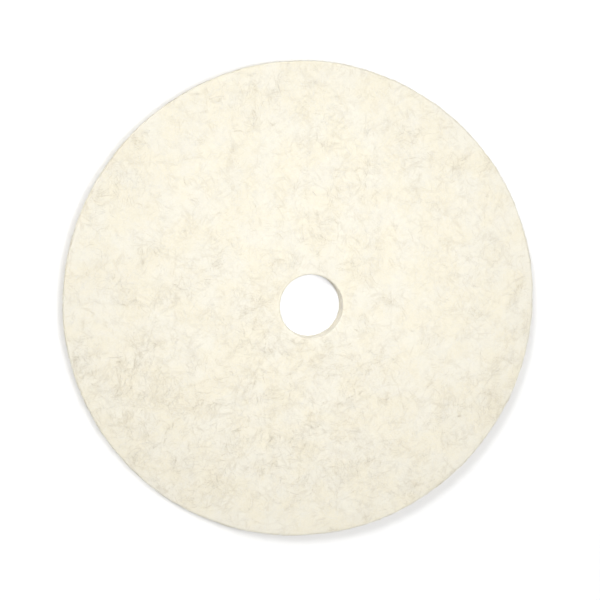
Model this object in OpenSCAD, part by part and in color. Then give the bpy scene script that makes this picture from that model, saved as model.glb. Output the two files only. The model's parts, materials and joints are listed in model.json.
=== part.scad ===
// Floor-burnishing pad: a thick nonwoven disc of polyester and natural hair with a centre hole.
// It is built up from cross-lapped plies: two dense, resin-rich face plies with open core plies
// between them, bonded flat to flat and die-cut together. Both faces are working faces.
// Millimetres. +Z is the hole's axis. The origin is the centre of the lower face.

/* [Pad] */
// Outside diameter of the pad
pad_d = 610; // [430:1:690]
// Thickness of the whole stack of plies
pad_t = 25.4; // [20:0.1:32]
// Diameter of the centre hole, which the driver's centre lock passes through
hole_d = 82.5; // [76:0.5:90]

/* [Plies] */
// Thickness of each resin-rich face ply
face_ply_t = 2.9; // [2.5:0.1:4]
// Number of open core plies between the two face plies
core_plies = 8; // [6:1:12]

/* [Cut edges] */
// How far the outer cut edge draws in at mid thickness, from the squeeze of the cutting die
edge_dish = 0.5; // [0:0.1:3]
// How far the edge of each core ply swells outwards between its two bond planes
ply_swell = 0.35; // [0.1:0.05:0.6]
// Radius of the softened rim round the outside of each face
rim_r = 2.2; // [0.5:0.1:2.4]
// Radius of the softened rim round the hole in each face
hole_rim_r = 1; // [0.2:0.1:2]

/* [Hidden] */
$fn = 180;

face_colour = "oldlace";
core_colour = "cornsilk";

pad_r = pad_d / 2;
hole_r = hole_d / 2;
core_ply_t = (pad_t - 2 * face_ply_t) / core_plies;
// Room that a cutting shape takes beyond the material it removes
spare = 1;

// Core plies are numbered from the top down.
function core_name(i) = str("core_ply_", i);
function core_bottom(i) = pad_t - face_ply_t - i * core_ply_t;

// Radius of the cut edge at height z: full at both faces and drawn in by edge_dish half way.
function cut_edge_r(z) = let (from_middle = abs(2 * z / pad_t - 1))
    pad_r - edge_dish * (1 - from_middle * from_middle);

// What is left of a square corner outside a round of radius r. The corner is at the origin,
// and the material lies towards -X and -Y.
module corner_waste(r) {
    difference() {
        translate([-r, -r]) square(r + spare);
        translate([-r, -r]) circle(r);
    }
}

// Half section of a face ply whose working face is at the top, resting on y = 0.
module face_section() {
    difference() {
        translate([hole_r, 0]) square([pad_r - hole_r, face_ply_t]);
        translate([pad_r, face_ply_t]) corner_waste(rim_r);
        translate([hole_r, face_ply_t]) mirror([1, 0]) corner_waste(hole_rim_r);
    }
}

// Half section of a core ply: flat on both bond planes, with its cut edge swelling outwards in an
// arc that reaches edge_r half way up.
module core_section(edge_r) {
    arc_r = (core_ply_t * core_ply_t / 4 + ply_swell * ply_swell) / (2 * ply_swell);
    arc_x = edge_r - arc_r;
    translate([hole_r, 0]) square([arc_x - hole_r, core_ply_t]);
    intersection() {
        translate([arc_x, core_ply_t / 2]) circle(arc_r);
        translate([arc_x - arc_r, 0]) square([2 * arc_r, core_ply_t]);
    }
}

module upper_face_ply() {
    color(face_colour)
        translate([0, 0, pad_t - face_ply_t])
            rotate_extrude() face_section();
}

module lower_face_ply() {
    color(face_colour)
        translate([0, 0, face_ply_t])
            mirror([0, 0, 1])
                rotate_extrude() face_section();
}

module core_ply(i) {
    z = core_bottom(i);
    color(core_colour)
        translate([0, 0, z])
            rotate_extrude() core_section(cut_edge_r(z + core_ply_t / 2));
}

upper_face_ply();
for (i = [1 : core_plies])
    core_ply(i);
lower_face_ply();
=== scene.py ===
"""A floor-burnishing pad: ten bonded plies of polyester and natural hair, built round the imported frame.

Lengths are in metres. Every ply is a closed mesh that replaces its CAD node, and the loose fibres on
the faces and the cut edges are thin closed tubes.
"""
import collections
import itertools
import json
import math

import bpy
import numpy as np
from mathutils import Matrix, Vector


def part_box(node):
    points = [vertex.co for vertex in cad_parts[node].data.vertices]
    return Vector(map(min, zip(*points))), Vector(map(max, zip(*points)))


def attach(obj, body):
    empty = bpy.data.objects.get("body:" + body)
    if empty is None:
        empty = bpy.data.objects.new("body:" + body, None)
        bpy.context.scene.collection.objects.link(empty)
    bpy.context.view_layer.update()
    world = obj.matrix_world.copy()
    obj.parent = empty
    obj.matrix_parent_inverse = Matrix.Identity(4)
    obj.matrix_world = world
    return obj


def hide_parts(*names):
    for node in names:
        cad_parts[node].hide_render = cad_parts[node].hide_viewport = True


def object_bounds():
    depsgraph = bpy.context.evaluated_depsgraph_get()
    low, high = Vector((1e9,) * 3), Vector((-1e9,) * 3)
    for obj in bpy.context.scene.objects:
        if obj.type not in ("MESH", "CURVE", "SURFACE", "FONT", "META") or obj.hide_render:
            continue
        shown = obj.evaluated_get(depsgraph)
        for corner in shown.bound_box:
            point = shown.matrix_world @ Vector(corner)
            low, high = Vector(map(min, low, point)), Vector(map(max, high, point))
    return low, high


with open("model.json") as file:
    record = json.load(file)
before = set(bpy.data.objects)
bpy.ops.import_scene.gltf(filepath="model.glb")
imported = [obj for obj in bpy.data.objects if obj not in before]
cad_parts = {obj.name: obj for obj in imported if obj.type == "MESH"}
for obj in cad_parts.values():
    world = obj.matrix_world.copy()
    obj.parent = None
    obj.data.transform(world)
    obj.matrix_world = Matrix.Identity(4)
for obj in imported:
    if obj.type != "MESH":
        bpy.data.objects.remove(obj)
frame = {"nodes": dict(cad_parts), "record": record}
cad_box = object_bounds()

MM = 0.001

# ---------------------------------------------------------------- sizes from the frame

record = frame["record"]
hole_mount = next(m for m in record["mounts"] if m["name"] == "centre_hole")
PAD_R = (cad_box[1].x - cad_box[0].x) / 2
HOLE_R = hole_mount["dims"]["r_mm"] * MM
CORE_NAMES = sorted(n for n in frame["nodes"] if n.startswith("core_ply_"))
# Plies from the bottom up, which is the order of the levels between them
PLY_NAMES = ["lower_face_ply"] + CORE_NAMES[::-1] + ["upper_face_ply"]
LEVELS = [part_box(name)[0].z for name in PLY_NAMES] + [cad_box[1].z]
BOTTOM, TOP = LEVELS[0], LEVELS[-1]


# ---------------------------------------------------------------- camera

CAMERA_DISTANCE = 0.85
CAMERA_TILT = math.radians(11.0)
CAMERA_BEARING = math.radians(149.5)
CAMERA_TARGET = Vector((-0.0153, 0.0086, TOP))
LENS = 40.0


def add_camera():
    """The camera looks down on the pad, tilted a little, with +Y up in its picture."""
    data = bpy.data.cameras.new("camera")
    data.lens = LENS
    data.clip_end = 50
    camera = bpy.data.objects.new("camera", data)
    bpy.context.scene.collection.objects.link(camera)
    back = Vector((
        math.sin(CAMERA_TILT) * math.cos(CAMERA_BEARING),
        math.sin(CAMERA_TILT) * math.sin(CAMERA_BEARING),
        math.cos(CAMERA_TILT),
    ))
    right = Vector((0, 1, 0)).cross(back).normalized()
    up = back.cross(right)
    turn = Matrix((right, up, back)).transposed().to_4x4()
    camera.matrix_world = Matrix.Translation(CAMERA_TARGET + back * CAMERA_DISTANCE) @ turn
    bpy.context.scene.camera = camera


# ---------------------------------------------------------------- smooth seeded noise

NOISE_CELLS = 48


def noise(seed, points, wavelength):
    """Smooth noise from -1 to 1 at each point. Wavelength is one number, or one for each axis."""
    table = np.random.default_rng(seed).uniform(-1, 1, (NOISE_CELLS,) * 3)
    place = points / np.asarray(wavelength)
    base = np.floor(place).astype(int)
    part = place - base
    part = part * part * (3 - 2 * part)
    total = np.zeros(len(points))
    for corner in itertools.product((0, 1), repeat=3):
        weight = np.prod(np.where(corner, part, 1 - part), axis=1)
        cell = (base + corner) % NOISE_CELLS
        total += weight * table[cell[:, 0], cell[:, 1], cell[:, 2]]
    return total


def layered_noise(seed, points, layers):
    """Sum of noise layers, each given as (wavelength, height)."""
    total = np.zeros(len(points))
    for number, (wavelength, height) in enumerate(layers):
        total += height * noise(seed + number, points, wavelength)
    return total


# ---------------------------------------------------------------- the pad's surfaces

FACE_LAYERS = (
    (52 * MM, 0.22 * MM),
    (17 * MM, 0.10 * MM),
    (6.5 * MM, 0.08 * MM),
    (3.4 * MM, 0.06 * MM),
)
BOND_LAYERS = ((38 * MM, 0.35 * MM), (12 * MM, 0.35 * MM), (5 * MM, 0.15 * MM))
OUTLINE_LAYERS = ((180 * MM, 0.8 * MM), (35 * MM, 0.30 * MM))
# Fibres lie along the plies, so what a cut edge shows is long sideways and thin upwards
EDGE_BROAD_LAYERS = (
    ((18 * MM, 18 * MM, 4 * MM), 0.30 * MM),
    ((7 * MM, 7 * MM, 1.6 * MM), 0.25 * MM),
)
EDGE_RIDGE_LAYERS = (
    ((9 * MM, 9 * MM, 1.3 * MM), 0.55 * MM),
    ((3.6 * MM, 3.6 * MM, 0.9 * MM), 0.50 * MM),
)
EDGE_DISH = 0.5 * MM
PLY_SWELL = 0.45 * MM
RIM_R = 2.4 * MM
RIM_SINK = 0.8 * MM
RIM_SINK_WIDTH = 11 * MM
HOLE_RIM_R = 1.2 * MM
HOLE_ROUGHNESS = 0.4
# A ridge runs where its noise crosses zero, and this share of its layer's height is its crest
RIDGE_LEVEL = 0.45
# Bond planes take their noise from slices this far apart, so no two are alike
SLICE_GAP = 0.05

# Seeds of the noise and of the fibres
SEED_FIBRES = 7
SEED_UPPER_FACE = 11
SEED_LOWER_FACE = 21
SEED_BOND = 31
SEED_GROOVE = 40
SEED_OUTLINE = 61
SEED_EDGE = 71
SEED_HOLE = 81
SEED_HAIR = 91
# The ridges of a cut edge follow its broad layers in the seeds
RIDGE_SEEDS = 5


def flat_points(x, y, z=0.0):
    return np.stack([x, y, np.full_like(x, z)], axis=1)


def rim_fall(radius):
    """How much a face sinks near its two cut edges, where the cutting die squeezed it."""
    to_edge = np.minimum(PAD_R - radius, radius - HOLE_R)
    share = np.clip(1 - to_edge / RIM_SINK_WIDTH, 0, 1)
    return RIM_SINK * share * share


def upper_face_z(x, y):
    relief = layered_noise(SEED_UPPER_FACE, flat_points(x, y), FACE_LAYERS)
    return TOP + relief - rim_fall(np.hypot(x, y))


def lower_face_z(x, y):
    """The lower face rests on the floor, so its relief only goes upwards."""
    relief = layered_noise(SEED_LOWER_FACE, flat_points(x, y), FACE_LAYERS)
    return BOTTOM + np.maximum(relief, 0) + rim_fall(np.hypot(x, y))


def bond_z(level, x, y):
    """Height of the wavy bond plane between two plies."""
    return LEVELS[level] + layered_noise(SEED_BOND, flat_points(x, y, SLICE_GAP * level), BOND_LAYERS)


def wall_relief(seed, place):
    """The ragged surface of a cut edge: broad hollows, and ridges where strands of fibre end."""
    relief = layered_noise(seed, place, EDGE_BROAD_LAYERS)
    for number, (wavelength, height) in enumerate(EDGE_RIDGE_LAYERS):
        relief += height * (RIDGE_LEVEL - np.abs(noise(seed + RIDGE_SEEDS + number, place, wavelength)))
    return relief


def outer_r(cos, sin, z):
    """Radius of the outer cut edge, drawn in half way up, with a slightly uneven outline."""
    from_middle = np.abs(2 * (z - BOTTOM) / (TOP - BOTTOM) - 1)
    uneven = layered_noise(SEED_OUTLINE, flat_points(cos * PAD_R, sin * PAD_R), OUTLINE_LAYERS)
    relief = wall_relief(SEED_EDGE, np.stack([cos * PAD_R, sin * PAD_R, z], axis=1))
    return PAD_R - EDGE_DISH * (1 - from_middle**2) + uneven + relief


def hole_r(cos, sin, z):
    """Radius of the hole's wall, which is cut cleaner than the outside."""
    relief = wall_relief(SEED_HOLE, np.stack([cos * HOLE_R, sin * HOLE_R, z], axis=1))
    return HOLE_R - HOLE_ROUGHNESS * relief


def rim_step(rim, into_rim):
    """How far a rounded rim stands back at a depth into the rim, from 0 at its start to rim."""
    share = np.clip(into_rim / rim, 0, 1)
    return rim * (1 - np.sqrt(1 - share * share))


def skin_r(radius_of, rim, sign):
    """The radius of a cut edge with its rounded rims, which the loose fibres follow."""
    def radius(cos, sin, z):
        into_rim = np.maximum(z - (TOP - rim), BOTTOM + rim - z)
        return radius_of(cos, sin, z) - sign * rim_step(rim, into_rim)
    return radius


def skin_z(face_z, side):
    """The height of a face with its rounded rims."""
    def height(x, y):
        radius = np.hypot(x, y)
        outer_step = rim_step(RIM_R, radius - (PAD_R - RIM_R))
        hole_step = rim_step(HOLE_RIM_R, HOLE_R + HOLE_RIM_R - radius)
        return face_z(x, y) - side * (outer_step + hole_step)
    return height


# ---------------------------------------------------------------- meshes made of rings

OUTER_COLUMNS = 1920
HOLE_COLUMNS = 240
RING_STEP = 2.2 * MM
WALL_ROWS = 8
# Columns are halved a little before a ring's radius is a half, a quarter and so on of the outside's
EARLY = 0.07


class Rings:
    """A closed shell made of rings round the Z axis. Each ring has as many columns as the one before
    it, or half, or twice as many, and the last ring is joined to the first."""

    def __init__(self):
        self.points = []
        self.starts = []
        self.columns = []
        self.count = 0

    def add(self, columns, place):
        """place turns the ring's cosines and sines into radius and height."""
        angle = np.arange(columns) * (2 * math.pi / columns)
        cos, sin = np.cos(angle), np.sin(angle)
        radius, z = place(cos, sin)
        self.points.append(np.stack([radius * cos, radius * sin, z], axis=1))
        self.starts.append(self.count)
        self.columns.append(columns)
        self.count += columns

    def faces(self):
        rings = list(zip(self.starts, self.columns))
        pairs = zip(rings, rings[1:] + rings[:1])
        return np.concatenate([strip(a, b) for a, b in pairs])

    def mesh(self, name):
        return new_mesh(name, np.concatenate(self.points), self.faces())


def strip(ring_a, ring_b):
    """Triangles between two rings, each given as (first point, columns)."""
    (a, n), (b, m) = ring_a, ring_b
    if n < m:
        return strip(ring_b, ring_a)[:, ::-1]
    i = np.arange(m)
    j = (i + 1) % m
    if n == m:
        return np.concatenate([
            np.stack([a + i, a + j, b + j], axis=1),
            np.stack([a + i, b + j, b + i], axis=1),
        ])
    left, middle, right = a + 2 * i, a + 2 * i + 1, a + (2 * i + 2) % n
    return np.concatenate([
        np.stack([left, middle, b + i], axis=1),
        np.stack([middle, b + j, b + i], axis=1),
        np.stack([middle, right, b + j], axis=1),
    ])


def new_mesh(name, points, triangles):
    mesh = bpy.data.meshes.new(name)
    mesh.from_pydata(points, [], triangles)
    mesh.shade_smooth()
    mesh.update()
    return mesh


def add_piece(name, mesh, material):
    piece = bpy.data.objects.new(name, mesh)
    bpy.context.scene.collection.objects.link(piece)
    mesh.materials.append(material)
    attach(piece, "root")
    return piece


def columns_at(radius, outer):
    """Columns of a ring of that radius, when a ring at the outside has outer columns."""
    halvings = max(0, math.ceil(math.log2(PAD_R / radius) - 1 + EARLY))
    return outer >> halvings


# ---------------------------------------------------------------- plies

RIM_SHARES = (0, 0.2, 0.4, 0.6, 0.8, 1)
HOLE_RIM_SHARES = (1, 0.7, 0.35, 0)
# The rims take the wall's radius this far from the bond plane
RIM_WALL = 0.6 * MM
FACE_BOND_INSET = 8 * MM
# Rings of a core ply's flat sides: how often their columns are halved, and how far in they lie
CORE_INSETS = ((1, 5 * MM), (2, 10 * MM))
CORE_HOLE_INSET = 12 * MM
# Between two plies a cut edge falls into a groove, which a smaller power makes narrower. It is
# deeper in some places than in others.
GROOVE_POWER = 0.6
GROOVE_WAVE = 26 * MM
GROOVE_DEPTHS = (0.1, 1)


def face_ply_mesh(name, face_z, bond_level, side):
    """A face ply: a dense mesh on its working face, round rims, short walls and a coarse bond plane.
    side is 1 for the upper ply and -1 for the lower."""
    rings = Rings()
    columns = OUTER_COLUMNS // 2

    def on_bond(radius_of):
        def place(cos, sin):
            rough = radius_of(cos, sin, np.full_like(cos, LEVELS[bond_level]))
            z = bond_z(bond_level, rough * cos, rough * sin)
            return radius_of(cos, sin, z), z
        return place

    def on_rim(radius_of, rim, share, sign):
        """A point of the rounded rim: share 0 is at the wall and 1 is on the face."""
        turn = share * math.pi / 2

        def place(cos, sin):
            wall = radius_of(cos, sin, np.full_like(cos, LEVELS[bond_level] + side * RIM_WALL))
            radius = wall - sign * rim * (1 - math.cos(turn))
            face = face_z(radius * cos, radius * sin)
            return radius, face - side * rim * (1 - math.sin(turn))
        return place

    def on_face(radius):
        return lambda cos, sin: (np.full_like(cos, radius), face_z(radius * cos, radius * sin))

    for share in RIM_SHARES:
        rings.add(columns, on_rim(outer_r, RIM_R, share, 1))
    radii = np.arange(PAD_R - RIM_R - RING_STEP, HOLE_R + HOLE_RIM_R + RING_STEP / 2, -RING_STEP)
    for radius in radii:
        rings.add(columns_at(radius, columns), on_face(radius))
    for share in HOLE_RIM_SHARES:
        rings.add(HOLE_COLUMNS, on_rim(hole_r, HOLE_RIM_R, share, -1))
    rings.add(HOLE_COLUMNS, on_bond(hole_r))
    rings.add(columns // 2, on_bond(lambda cos, sin, z: np.full_like(cos, PAD_R - FACE_BOND_INSET)))
    rings.add(columns, on_bond(outer_r))
    mesh = rings.mesh(name)
    if side < 0:
        mesh.flip_normals()
    return mesh


def core_ply_mesh(name, level):
    """A core ply between bond planes level and level + 1, with fine cut edges."""
    rings = Rings()

    def on_wall(radius_of, share, sign):
        """A point of a cut edge, share of the way from the upper bond plane to the lower."""
        def place(cos, sin):
            rough = radius_of(cos, sin, np.full_like(cos, LEVELS[level]))
            x, y = rough * cos, rough * sin
            z = bond_z(level + 1, x, y) * (1 - share) + bond_z(level, x, y) * share
            groove = PLY_SWELL * (1 - (4 * share * (1 - share)) ** GROOVE_POWER)
            uneven = noise(SEED_GROOVE, flat_points(x, y, SLICE_GAP * level), GROOVE_WAVE)
            return radius_of(cos, sin, z) - sign * groove * np.clip(0.5 + uneven, *GROOVE_DEPTHS), z
        return place

    def on_bond(bond_level, radius):
        return lambda cos, sin: (np.full_like(cos, radius), bond_z(bond_level, radius * cos, radius * sin))

    for share in np.linspace(0, 1, WALL_ROWS):
        rings.add(OUTER_COLUMNS, on_wall(outer_r, share, 1))
    for halvings, inset in CORE_INSETS:
        rings.add(OUTER_COLUMNS >> halvings, on_bond(level, PAD_R - inset))
    rings.add(HOLE_COLUMNS, on_bond(level, HOLE_R + CORE_HOLE_INSET))
    for share in np.linspace(1, 0, WALL_ROWS):
        rings.add(HOLE_COLUMNS, on_wall(hole_r, share, -1))
    rings.add(HOLE_COLUMNS, on_bond(level + 1, HOLE_R + CORE_HOLE_INSET))
    for halvings, inset in CORE_INSETS[::-1]:
        rings.add(OUTER_COLUMNS >> halvings, on_bond(level + 1, PAD_R - inset))
    return rings.mesh(name)


# ---------------------------------------------------------------- materials

SPECULAR = 0.25
SHEEN_ROUGHNESS = 0.6
WEB_ROUGHNESS = 0.9
WEB_SHEEN = 0.12
HAIR_SHADE = (0.55, 0.48, 0.35)
STREAK_TURNS = 6
# Each direction of streaks takes its noise from another place, so no two are alike
STREAK_SHIFT = (0.37, 0.21, 0)
STREAK_DISTORTION = 0.5
# A ramp is the low and the high end of what it takes in, and it gives 0 to 1 unless two more numbers
# say what else it gives.
PATCH_SIZE = 34 * MM
PATCH_RAMP = (0.38, 0.64)
CLUMP_LENGTH = 22 * MM
CLUMP_WIDTH = 5.5 * MM
CLUMP_RAMP = (0.56, 0.75)
CLUMP_SPREAD = 24 * MM
CLUMP_SPREAD_RAMP = (0.40, 0.62, 0.15, 1.0)
GRAIN_SIZE = 1.6 * MM
GRAIN_RAMP = (0.35, 0.70, 0.0, 0.06)
SHINE_SIZE = 3 * MM
SHINE_RAMP = (0.3, 0.7, 0.80, 0.97)
FELT_LENGTH = 5 * MM
FELT_WIDTH = 0.5 * MM
FELT_RAMP = (0.45, 0.80)
FELT_HEIGHT = 0.35 * MM
FELT_STRENGTH = 0.6


def add_node(tree, kind, inputs=None, **settings):
    """A new node with its settings. inputs holds plain values and sockets to link."""
    node = tree.nodes.new(kind)
    for key, value in settings.items():
        setattr(node, key, value)
    for key, value in (inputs or {}).items():
        if isinstance(value, bpy.types.NodeSocket):
            tree.links.new(value, node.inputs[key])
        else:
            node.inputs[key].default_value = value
    return node


def maths(tree, operation, a, b):
    return add_node(tree, "ShaderNodeMath", {0: a, 1: b}, operation=operation).outputs[0]


def noise_node(tree, vector, wavelength, detail, distortion=0.0):
    node = add_node(
        tree, "ShaderNodeTexNoise",
        {"Vector": vector, "Scale": 1 / wavelength, "Detail": detail, "Distortion": distortion},
    )
    return node.outputs["Fac"]


def ranged(tree, value, low, high, to_low=0.0, to_high=1.0):
    node = add_node(
        tree, "ShaderNodeMapRange",
        {"Value": value, "From Min": low, "From Max": high, "To Min": to_low, "To Max": to_high},
        interpolation_type="SMOOTHSTEP",
    )
    return node.outputs["Result"]


def mix_colours(tree, share, a, b):
    node = add_node(tree, "ShaderNodeMix", {"Factor": share}, data_type="RGBA")
    for socket, value in ((node.inputs[6], a), (node.inputs[7], b)):
        if isinstance(value, bpy.types.NodeSocket):
            tree.links.new(value, socket)
        else:
            socket.default_value = (*value, 1)
    return node.outputs[2]


def mapped(tree, vector, turn=0.0, stretch=(1, 1, 1), shift=(0, 0, 0)):
    node = add_node(
        tree, "ShaderNodeMapping",
        {"Vector": vector, "Location": shift, "Rotation": (0, 0, turn), "Scale": stretch},
    )
    return node.outputs["Vector"]


def new_material(name, roughness, sheen):
    material = bpy.data.materials.new(name)
    material.use_nodes = True
    shader = material.node_tree.nodes["Principled BSDF"]
    shader.inputs["Roughness"].default_value = roughness
    shader.inputs["Specular IOR Level"].default_value = SPECULAR
    shader.inputs["Sheen Weight"].default_value = sheen
    shader.inputs["Sheen Roughness"].default_value = SHEEN_ROUGHNESS
    return material, material.node_tree, shader


def streaks(tree, vector, length, width, ramp):
    """Short streaks that lie in several directions, from 0 to 1."""
    total = None
    for number in range(STREAK_TURNS):
        turn = number * math.pi / STREAK_TURNS
        turned = mapped(tree, vector, turn, shift=[step * number for step in STREAK_SHIFT])
        along = mapped(tree, turned, stretch=(1 / length, 1 / width, 1 / width))
        layer = ranged(tree, noise_node(tree, along, 1.0, 1.0, STREAK_DISTORTION), *ramp)
        total = layer if total is None else maths(tree, "MAXIMUM", total, layer)
    return total


def web_material(name, cream, white, hair_share, flatness):
    """Bonded fibre web: soft patches of cream and white, hair clumps, and a fine felted grain.
    flatness is how much thinner the features are upwards than sideways."""
    material, tree, shader = new_material(name, WEB_ROUGHNESS, WEB_SHEEN)
    place = add_node(tree, "ShaderNodeTexCoord").outputs["Object"]
    place = mapped(tree, place, stretch=(1, 1, flatness))
    patches = ranged(tree, noise_node(tree, place, PATCH_SIZE, 3.0), *PATCH_RAMP)
    colour = mix_colours(tree, patches, cream, white)
    clumps = streaks(tree, place, CLUMP_LENGTH, CLUMP_WIDTH, CLUMP_RAMP)
    where = ranged(tree, noise_node(tree, place, CLUMP_SPREAD, 2.0), *CLUMP_SPREAD_RAMP)
    dark = maths(tree, "MULTIPLY", maths(tree, "MULTIPLY", clumps, where), hair_share)
    colour = mix_colours(tree, dark, colour, HAIR_SHADE)
    grain = ranged(tree, noise_node(tree, place, GRAIN_SIZE, 3.0), *GRAIN_RAMP)
    colour = mix_colours(tree, grain, colour, HAIR_SHADE)
    tree.links.new(colour, shader.inputs["Base Color"])
    rough = ranged(tree, noise_node(tree, place, SHINE_SIZE, 2.0), *SHINE_RAMP)
    tree.links.new(rough, shader.inputs["Roughness"])
    felt = streaks(tree, place, FELT_LENGTH, FELT_WIDTH, FELT_RAMP)
    bump = add_node(
        tree, "ShaderNodeBump",
        {"Height": felt, "Strength": FELT_STRENGTH, "Distance": FELT_HEIGHT},
    )
    tree.links.new(bump.outputs["Normal"], shader.inputs["Normal"])
    return material


def fibre_material(name, colour, roughness, sheen):
    material, _, shader = new_material(name, roughness, sheen)
    shader.inputs["Base Color"].default_value = (*colour, 1)
    return material


# ---------------------------------------------------------------- fibres

TUBE_SIDES = 3
# A tube's thickness follows the middle stretch of a half wave, flattened by a power
TAPER_STRETCH = (0.18, 0.82)
TAPER_POWER = 0.35
FACE_STEPS = 9
CUT_STEPS = 5
# Fibres in a face stay between these radii. One that would pass them is shortened, to no less than
# LEAST_SHARE of its length.
FACE_INNER = HOLE_R + 0.6 * MM
FACE_OUTER = PAD_R - 0.6 * MM
LEAST_SHARE = 0.12
# Heights between which cut ends stand out of a cut edge, and between which fibres lie along it
ENDS_FROM = BOTTOM + 0.4 * MM
ENDS_TO = TOP - 0.6 * MM
LYING_FROM = BOTTOM + 0.15 * MM
LYING_TO = TOP - 0.3 * MM
# The fibres of a tuft lie this far apart, fan out by this angle and have these shares of its length
TUFT_SPREAD = 1.2 * MM
TUFT_FAN = 0.22
TUFT_LENGTHS = (0.6, 1.1)
# Hair gathers in some places: its tufts are picked from this many times as many places
CHOICES = 4
CROWD_LAYERS = ((70 * MM, 1.2), (24 * MM, 1.2), (11 * MM, 0.7))
# How far fibres rise out of what they lie on, and how deep their ends are sunk
UPPER_LIFT = 0.24 * MM
LOWER_LIFT = 0.18 * MM
RAISED_LIFT = 1.6 * MM
WALL_LIFT = 0.7 * MM
END_DEPTH = 0.3 * MM
ROOT_DEPTH = 0.8 * MM
# In a face, the middle height of a fibre's waves and the depth of its ends, as a share of its rise
MEAN_RISE = 0.35
# Along a cut edge, the shares of WALL_LIFT that fibres rise by
WALL_RISES = (0.2, 1.0)
# At each end a fibre comes up out of the web over one part in this many of its length
FACE_END_PARTS = 4
WALL_END_PARTS = 5
# Waves along the length of a fibre: sideways in a face, upwards in a face, and along a cut edge
CRIMP_WAVES = (0.7, 2.2)
FACE_WAVES = (0.5, 1.8)
WALL_WAVES = (0.4, 1.5)
# How much cut ends vary in their lean and their curl, and how much they droop
LEAN_ACROSS = 1.2
LEAN_UP = 0.4
CURL_ACROSS = 0.7
CURL_UP = 0.35
DROOP = 0.1
# How far a fibre along a cut edge wanders up and down, and how much its slope varies
WANDER = 0.5 * MM
WALL_SLOPE = 0.14
# The least height of a fibre over the floor
FLOOR_GAP = 0.02 * MM
# Keeps a division by a length of zero from failing
TINY = 1e-12


def tubes(paths, radius):
    """Points and triangles of thin closed tubes along paths, an array (fibres, points, 3). Each tube
    narrows a little along its length and closes on a point at both ends. radius is one per fibre."""
    fibres, steps, _ = paths.shape
    along = np.gradient(paths, axis=1)
    along /= np.linalg.norm(along, axis=2, keepdims=True) + TINY
    mean = along.mean(axis=1)
    least = np.eye(3)[np.argmin(np.abs(mean), axis=1)]
    side = np.cross(along, np.cross(mean, least)[:, None, :])
    side /= np.linalg.norm(side, axis=2, keepdims=True) + TINY
    other = np.cross(along, side)
    rings = steps - 2
    taper = np.sin(np.linspace(*TAPER_STRETCH, rings) * math.pi) ** TAPER_POWER
    size = (radius[:, None] * taper)[:, :, None]
    shell = [paths[:, :1]]
    corners = []
    for corner in range(TUBE_SIDES):
        turn = 2 * math.pi * corner / TUBE_SIDES
        corners.append(paths[:, 1:-1] + size * (math.cos(turn) * side + math.sin(turn) * other)[:, 1:-1])
    shell.append(np.stack(corners, axis=2).reshape(fibres, rings * TUBE_SIDES, 3))
    shell.append(paths[:, -1:])
    points = np.concatenate(shell, axis=1)
    triangles = []
    last = 1 + rings * TUBE_SIDES
    for corner in range(TUBE_SIDES):
        after = (corner + 1) % TUBE_SIDES
        triangles.append((0, 1 + after, 1 + corner))
        triangles.append((last, last - TUBE_SIDES + corner, last - TUBE_SIDES + after))
        for ring in range(rings - 1):
            a = 1 + ring * TUBE_SIDES
            b = a + TUBE_SIDES
            triangles.append((a + corner, a + after, b + after))
            triangles.append((a + corner, b + after, b + corner))
    first = np.arange(fibres)[:, None, None] * points.shape[1]
    return points.reshape(-1, 3), (np.array(triangles)[None] + first).reshape(-1, 3)


def curved_headings(rng, count, steps, bend, crimp):
    """Heading of each step of each fibre: a steady bend with some waviness on top."""
    along = np.linspace(0, 1, steps)
    start = rng.uniform(0, 2 * math.pi, (count, 1))
    turn = rng.normal(0, bend, (count, 1))
    waves = rng.uniform(*CRIMP_WAVES, (count, 1))
    phase = rng.uniform(0, 2 * math.pi, (count, 1))
    return start + turn * along + crimp * np.sin(2 * math.pi * waves * along + phase)


def walk(start, headings, lengths):
    """Flat paths from start points along headings."""
    steps = headings.shape[1]
    step = (lengths / (steps - 1))[:, None]
    x = start[:, :1] + np.cumsum(np.cos(headings) * step, axis=1) - np.cos(headings[:, :1]) * step
    y = start[:, 1:] + np.cumsum(np.sin(headings) * step, axis=1) - np.sin(headings[:, :1]) * step
    return x, y


def tuft_places(rng, tufts, gather):
    """Places of tufts in a face. A higher gather crowds more of them into the same parts of it."""
    radius = np.sqrt(rng.uniform(FACE_INNER**2, FACE_OUTER**2, tufts * CHOICES))
    angle = rng.uniform(0, 2 * math.pi, tufts * CHOICES)
    places = np.stack([radius * np.cos(angle), radius * np.sin(angle)], axis=1)
    crowding = np.exp(gather * layered_noise(SEED_HAIR, flat_points(*places.T), CROWD_LAYERS))
    return places[rng.choice(len(places), tufts, replace=False, p=crowding / crowding.sum())]


def walk_in_face(start, headings, lengths):
    """Flat paths that are shortened where they would pass a cut edge."""
    reach = np.hypot(*walk(start, headings, lengths))
    inside = np.cumprod((reach > FACE_INNER) & (reach < FACE_OUTER), axis=1)
    share = inside.sum(axis=1) / headings.shape[1]
    return walk(start, headings, lengths * np.maximum(share, LEAST_SHARE))


def lying_heights(rng, count, steps, lift):
    """Heights of fibres over the face: waves that rise to lift and dip under it, with sunk ends."""
    along = np.linspace(0, 1, steps)
    waves = rng.uniform(*FACE_WAVES, (count, 1))
    phase = rng.uniform(0, 2 * math.pi, (count, 1))
    middle = np.minimum(1, FACE_END_PARTS * np.minimum(along, 1 - along))
    wave = MEAN_RISE + (1 - MEAN_RISE) * np.sin(2 * math.pi * waves * along + phase)
    return lift * wave * middle - MEAN_RISE * lift * (1 - middle)


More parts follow.
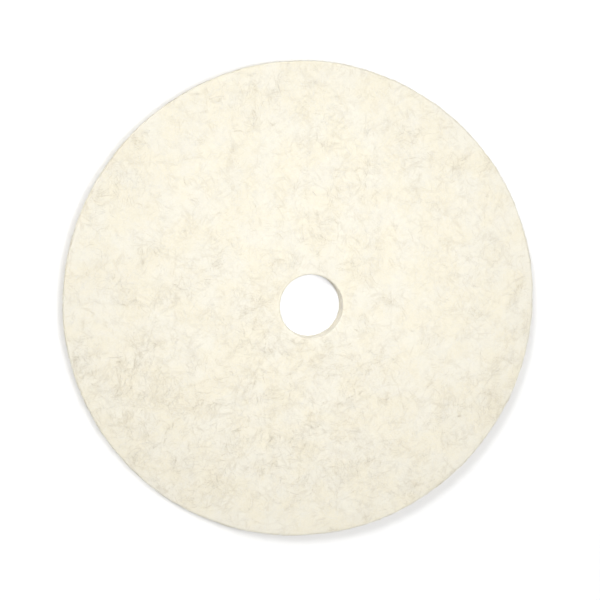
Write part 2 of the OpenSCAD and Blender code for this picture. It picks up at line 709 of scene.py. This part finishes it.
def face_fibres(rng, count, kind, lift, skin, side):
    """Fibres lying in a face, partly sunk into it. They come in tufts, and the fibres of a tuft lie
    nearly side by side."""
    tuft = kind.tuft
    tufts = count // tuft
    count = tufts * tuft
    start = np.repeat(tuft_places(rng, tufts, kind.gather), tuft, axis=0)
    start = start + rng.normal(0, TUFT_SPREAD, (count, 2)) * (tuft > 1)
    headings = np.repeat(curved_headings(rng, tufts, FACE_STEPS, kind.bend, kind.crimp), tuft, axis=0)
    headings = headings + rng.normal(0, TUFT_FAN, (count, 1)) * (tuft > 1)
    lengths = np.repeat(rng.uniform(*kind.lengths, tufts), tuft) * rng.uniform(*TUFT_LENGTHS, count)
    x, y = walk_in_face(start, headings, lengths)
    height = lying_heights(rng, count, FACE_STEPS, lift)
    surface = skin(x.ravel(), y.ravel()).reshape(count, FACE_STEPS)
    return np.stack([x, y, surface + side * height], axis=2)


def cut_ends(rng, count, length, radius_of, sign):
    """Short cut ends that stand out of a cut edge, sign 1 outwards and -1 into the hole."""
    angle = rng.uniform(0, 2 * math.pi, count)
    z = rng.uniform(ENDS_FROM, ENDS_TO, count)
    cos, sin = np.cos(angle), np.sin(angle)
    radius = radius_of(cos, sin, z) - sign * ROOT_DEPTH
    out = sign * np.stack([cos, sin, 0 * cos], axis=1)
    across = np.stack([-sin, cos, 0 * cos], axis=1)
    upward = np.array([0, 0, 1.0])
    heading = out + rng.normal(0, LEAN_ACROSS, (count, 1)) * across
    heading += rng.normal(0, LEAN_UP, (count, 1)) * upward
    heading /= np.linalg.norm(heading, axis=1, keepdims=True)
    curl = rng.normal(0, CURL_ACROSS, (count, 1)) * across
    curl = curl + rng.normal(-DROOP, CURL_UP, (count, 1)) * upward
    lengths = rng.uniform(*length, (count, 1))
    along = np.linspace(0, 1, CUT_STEPS)[None, :, None]
    start = np.stack([radius * cos, radius * sin, z], axis=1)[:, None, :]
    return start + (heading * lengths)[:, None] * along + (curl * lengths)[:, None] * along**2 * 0.5


def wall_fibres(rng, count, length, radius_of, sign):
    """Fibres that lie along a cut edge, wandering up and down, with their ends sunk into it."""
    angle = rng.uniform(0, 2 * math.pi, (count, 1))
    z = rng.uniform(BOTTOM, TOP, (count, 1))
    along = np.linspace(-0.5, 0.5, FACE_STEPS)
    reach = rng.uniform(*length, (count, 1)) * along
    around = PAD_R if sign > 0 else HOLE_R
    angle = angle + reach / around
    waves = rng.uniform(*WALL_WAVES, (count, 1))
    phase = rng.uniform(0, 2 * math.pi, (count, 1))
    slope = rng.normal(0, WALL_SLOPE, (count, 1))
    z = z + slope * reach + WANDER * np.sin(2 * math.pi * waves * along + phase)
    z = np.clip(z, LYING_FROM, LYING_TO)
    cos, sin = np.cos(angle), np.sin(angle)
    wall = radius_of(cos.ravel(), sin.ravel(), z.ravel()).reshape(count, FACE_STEPS)
    middle = np.minimum(1, WALL_END_PARTS * (0.5 - np.abs(along)))
    lift = WALL_LIFT * rng.uniform(*WALL_RISES, (count, 1))
    radius = wall + sign * (lift * middle - END_DEPTH * (1 - middle))
    return np.stack([radius * cos, radius * sin, z], axis=2)


def add_fibres(name, paths, diameters, rng, material):
    """One piece made of a batch of fibres, none of which goes through the floor."""
    radius = rng.uniform(*diameters, len(paths)) / 2
    points, triangles = tubes(paths, radius)
    points[:, 2] = np.maximum(points[:, 2], BOTTOM + FLOOR_GAP)
    add_piece(name, new_mesh(name, points, triangles), material)


# ---------------------------------------------------------------- floor and light

# The overhead lamp hangs low over the pad, so its light falls off towards the pad's edges
OVERHEAD_PLACE = Vector((0.08, 0.05, TOP + 0.9))
OVERHEAD_SIZE = 0.3
OVERHEAD_POWER = 4.0
# The side lamp throws the soft shadow at the lower right of the picture
SIDE_PLACE = Vector((-1.42, 1.63, 2.15))
SIDE_SIZE = 0.75
SIDE_POWER = 42.5
# A wide, weak, low sun opposite the side lamp lights the cut edge that faces away from it
SUN_FROM = Vector((1.80, -1.80, 0.60))
SUN_WIDTH = math.radians(40)
SUN_STRENGTH = 0.85
# The room is brightest at the horizon, which lights the cut edge as well as the face
ROOM_ZENITH = 0.26
ROOM_HORIZON = 1.30
ROOM_BAND = 0.40
BACKDROP = 0.79
# The floor gives off a little light of its own outside the pad, so it stays white a long way out
FLOOR_GLOW = 0.44
GLOW_FROM = 0.94 * PAD_R
FLOOR_R = 25
# A patch of floor a little wider than the hole glows, and keeps the hole white right up to its wall
PATCH_R = 43 * MM
PATCH_LIFT = 0.1 * MM
PATCH_GLOW = (0.18, 0.19, 0.23)
STAGE_WHITE = (0.97, 0.97, 0.97)
STAGE_POINTS = 64


def add_stage_disc(name, radius, z):
    """A white disc of floor, with the tree and shader of its material."""
    turns = np.linspace(0, 2 * math.pi, STAGE_POINTS, endpoint=False)
    mesh = bpy.data.meshes.new(name)
    points = [(radius * math.cos(turn), radius * math.sin(turn), z) for turn in turns]
    mesh.from_pydata(points, [], [range(len(points))])
    disc = bpy.data.objects.new(name, mesh)
    bpy.context.scene.collection.objects.link(disc)
    material, tree, shader = new_material(name + "_white", roughness=0.9, sheen=0.0)
    shader.inputs["Base Color"].default_value = (*STAGE_WHITE, 1)
    shader.inputs["Specular IOR Level"].default_value = 0.0
    shader.inputs["Emission Color"].default_value = (1, 1, 1, 1)
    mesh.materials.append(material)
    return tree, shader


def add_floor():
    """The floor, with a glow that grows from the pad outwards, and the glowing patch under the hole."""
    tree, shader = add_stage_disc("floor", FLOOR_R, BOTTOM)
    place = add_node(tree, "ShaderNodeTexCoord").outputs["Object"]
    radius = add_node(tree, "ShaderNodeVectorMath", {0: place}, operation="LENGTH").outputs["Value"]
    beyond = maths(tree, "SUBTRACT", 1.0, maths(tree, "DIVIDE", GLOW_FROM, radius))
    glow = maths(tree, "MULTIPLY", maths(tree, "MAXIMUM", beyond, 0.0), FLOOR_GLOW)
    tree.links.new(glow, shader.inputs["Emission Strength"])
    # The patch under the hole is no lamp, but it gives off light of its own onto the floor and the hole's
    # wall
    _, shader = add_stage_disc("glowing_patch", PATCH_R, BOTTOM + PATCH_LIFT)
    shader.inputs["Emission Color"].default_value = (*PATCH_GLOW, 1)
    shader.inputs["Emission Strength"].default_value = 1.0


def add_lamp(name, place, size, power):
    """A round soft lamp that faces the middle of the pad, and that the camera doesn't see."""
    data = bpy.data.lights.new(name, "AREA")
    data.shape = "DISK"
    data.size = size
    data.energy = power
    lamp = bpy.data.objects.new(name, data)
    lamp.location = place
    lamp.rotation_euler = place.to_track_quat("Z", "Y").to_euler()
    lamp.visible_camera = False
    bpy.context.scene.collection.objects.link(lamp)


def add_sun():
    """The wide sun that lights the cut edge from the side away from the side lamp."""
    data = bpy.data.lights.new("sun", "SUN")
    data.angle = SUN_WIDTH
    data.energy = SUN_STRENGTH
    sun = bpy.data.objects.new("sun", data)
    sun.rotation_euler = SUN_FROM.to_track_quat("Z", "Y").to_euler()
    bpy.context.scene.collection.objects.link(sun)


def add_room():
    """A white room, brightest at the horizon, that the camera sees as a plain backdrop."""
    world = bpy.data.worlds.new("room")
    world.use_nodes = True
    bpy.context.scene.world = world
    tree = world.node_tree
    tree.nodes.clear()
    direction = add_node(tree, "ShaderNodeTexCoord").outputs["Generated"]
    height = add_node(tree, "ShaderNodeSeparateXYZ", {0: direction}).outputs["Z"]
    strength = ranged(tree, height, 0.0, ROOM_BAND, ROOM_HORIZON, ROOM_ZENITH)
    room = add_node(tree, "ShaderNodeBackground", {"Color": (1, 1, 1, 1), "Strength": strength})
    seen = add_node(tree, "ShaderNodeBackground", {"Color": (1, 1, 1, 1), "Strength": BACKDROP})
    path = add_node(tree, "ShaderNodeLightPath")
    mix = add_node(tree, "ShaderNodeMixShader", {0: path.outputs["Is Camera Ray"]})
    tree.links.new(room.outputs[0], mix.inputs[1])
    tree.links.new(seen.outputs[0], mix.inputs[2])
    output = add_node(tree, "ShaderNodeOutputWorld")
    tree.links.new(mix.outputs[0], output.inputs["Surface"])


def add_lights():
    """The two lamps, the sun and the room, shown without any tone curve."""
    add_lamp("overhead", OVERHEAD_PLACE, OVERHEAD_SIZE, OVERHEAD_POWER)
    add_lamp("side", SIDE_PLACE, SIDE_SIZE, SIDE_POWER)
    add_sun()
    add_room()
    bpy.context.scene.view_settings.view_transform = "Standard"


# ---------------------------------------------------------------- the whole pad

CREAM = (0.930, 0.880, 0.728)
WHITE = (0.930, 0.894, 0.774)
CORE_CREAM = (0.930, 0.875, 0.725)
CORE_WHITE = (0.935, 0.895, 0.780)


def add_plies():
    """The ten plies, from the bottom up."""
    face_web = web_material("face_web", CREAM, WHITE, hair_share=0.22, flatness=1.0)
    core_web = web_material("core_web", CORE_CREAM, CORE_WHITE, hair_share=0.14, flatness=5.0)
    for level, name in enumerate(PLY_NAMES):
        if name == "upper_face_ply":
            mesh = face_ply_mesh(name, upper_face_z, level, 1)
        elif name == "lower_face_ply":
            mesh = face_ply_mesh(name, lower_face_z, level + 1, -1)
        else:
            mesh = core_ply_mesh(name, level)
        is_face = "face" in name
        piece = add_piece(name + "_web", mesh, face_web if is_face else core_web)
        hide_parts(name)


# A kind of fibre. on_face, along_edge and out_of_edge are how many of it lie in the upper face, lie
# along the cut edges and stick out of them.
Kind = collections.namedtuple(
    "Kind",
    "colour roughness sheen diameters lengths bend crimp tuft gather on_face along_edge out_of_edge",
)
POLYESTER = Kind(
    colour=(0.93, 0.905, 0.84),
    roughness=0.5,
    sheen=0.2,
    diameters=(0.13 * MM, 0.21 * MM),
    lengths=(20 * MM, 46 * MM),
    bend=1.2,
    crimp=0.5,
    tuft=1,
    gather=0,
    on_face=4000,
    along_edge=4000,
    out_of_edge=9000,
)
STRAW_HAIR = Kind(
    colour=(0.78, 0.72, 0.58),
    roughness=0.45,
    sheen=0,
    diameters=(0.12 * MM, 0.20 * MM),
    lengths=(12 * MM, 32 * MM),
    bend=1.3,
    crimp=0.15,
    tuft=2,
    gather=0.8,
    on_face=4600,
    along_edge=1700,
    out_of_edge=2600,
)
TAN_HAIR = Kind(
    colour=(0.67, 0.605, 0.475),
    roughness=0.45,
    sheen=0,
    diameters=(0.11 * MM, 0.19 * MM),
    lengths=(10 * MM, 28 * MM),
    bend=1.5,
    crimp=0.12,
    tuft=4,
    gather=1.4,
    on_face=3600,
    along_edge=1100,
    out_of_edge=1600,
)
GREY_HAIR = Kind(
    colour=(0.59, 0.555, 0.47),
    roughness=0.45,
    sheen=0,
    diameters=(0.10 * MM, 0.17 * MM),
    lengths=(8 * MM, 24 * MM),
    bend=1.5,
    crimp=0.12,
    tuft=3,
    gather=1.6,
    on_face=1400,
    along_edge=450,
    out_of_edge=700,
)
KINDS = {
    "polyester": POLYESTER,
    "straw_hair": STRAW_HAIR,
    "tan_hair": TAN_HAIR,
    "grey_hair": GREY_HAIR,
}
# Polyester is laid in this many more batches, besides a few fibres that are raised
MORE_POLYESTER = 2
RAISED = 900
# The lower face and the hole's wall have fewer fibres than the upper face and the outer edge
LOWER_SHARE = 0.6
HOLE_SHARE = 0.15
HOLE_HAIR_SHARE = 0.03
EDGE_LENGTHS = (6 * MM, 20 * MM)
HOLE_LENGTHS = (4 * MM, 12 * MM)
EDGE_END_LENGTHS = (1.6 * MM, 5 * MM)
HOLE_END_LENGTHS = (1.2 * MM, 3 * MM)


def add_face_fibres(rng, name, kind, material):
    """The fibres of one kind that lie in the two faces."""
    upper_skin = skin_z(upper_face_z, 1)
    lower_skin = skin_z(lower_face_z, -1)

    def add_upper(piece_name, count, lift):
        paths = face_fibres(rng, count, kind, lift, upper_skin, 1)
        add_fibres(piece_name, paths, kind.diameters, rng, material)

    add_upper(f"upper_face_{name}", kind.on_face, UPPER_LIFT)
    lower = face_fibres(rng, int(kind.on_face * LOWER_SHARE), kind, LOWER_LIFT, lower_skin, -1)
    add_fibres(f"lower_face_{name}", lower, kind.diameters, rng, material)
    if kind is POLYESTER:
        for batch in range(MORE_POLYESTER):
            add_upper(f"upper_face_{name}_{batch + 2}", kind.on_face, UPPER_LIFT)
        add_upper(f"upper_face_raised_{name}", RAISED, RAISED_LIFT)


def add_edge_fibres(rng, name, kind, material):
    """The fibres of one kind along the cut edges, and their cut ends."""
    outer_skin = skin_r(outer_r, RIM_R, 1)
    hole_skin = skin_r(hole_r, HOLE_RIM_R, -1)
    hole_share = HOLE_SHARE if kind is POLYESTER else HOLE_HAIR_SHARE
    lying = [
        wall_fibres(rng, kind.along_edge, EDGE_LENGTHS, outer_skin, 1),
        wall_fibres(rng, int(kind.along_edge * hole_share), HOLE_LENGTHS, hole_skin, -1),
    ]
    add_fibres(f"cut_edge_lying_{name}", np.concatenate(lying), kind.diameters, rng, material)
    ends = [
        cut_ends(rng, kind.out_of_edge, EDGE_END_LENGTHS, outer_skin, 1),
        cut_ends(rng, int(kind.out_of_edge * hole_share), HOLE_END_LENGTHS, hole_skin, -1),
    ]
    add_fibres(f"cut_edge_ends_{name}", np.concatenate(ends), kind.diameters, rng, material)


def add_all_fibres():
    """All the loose fibres, kind by kind, from one run of random numbers."""
    rng = np.random.default_rng(SEED_FIBRES)
    for name, kind in KINDS.items():
        material = fibre_material(name, kind.colour, kind.roughness, kind.sheen)
        add_face_fibres(rng, name, kind, material)
        add_edge_fibres(rng, name, kind, material)


add_camera()
add_floor()
add_lights()
add_plies()
add_all_fibres()
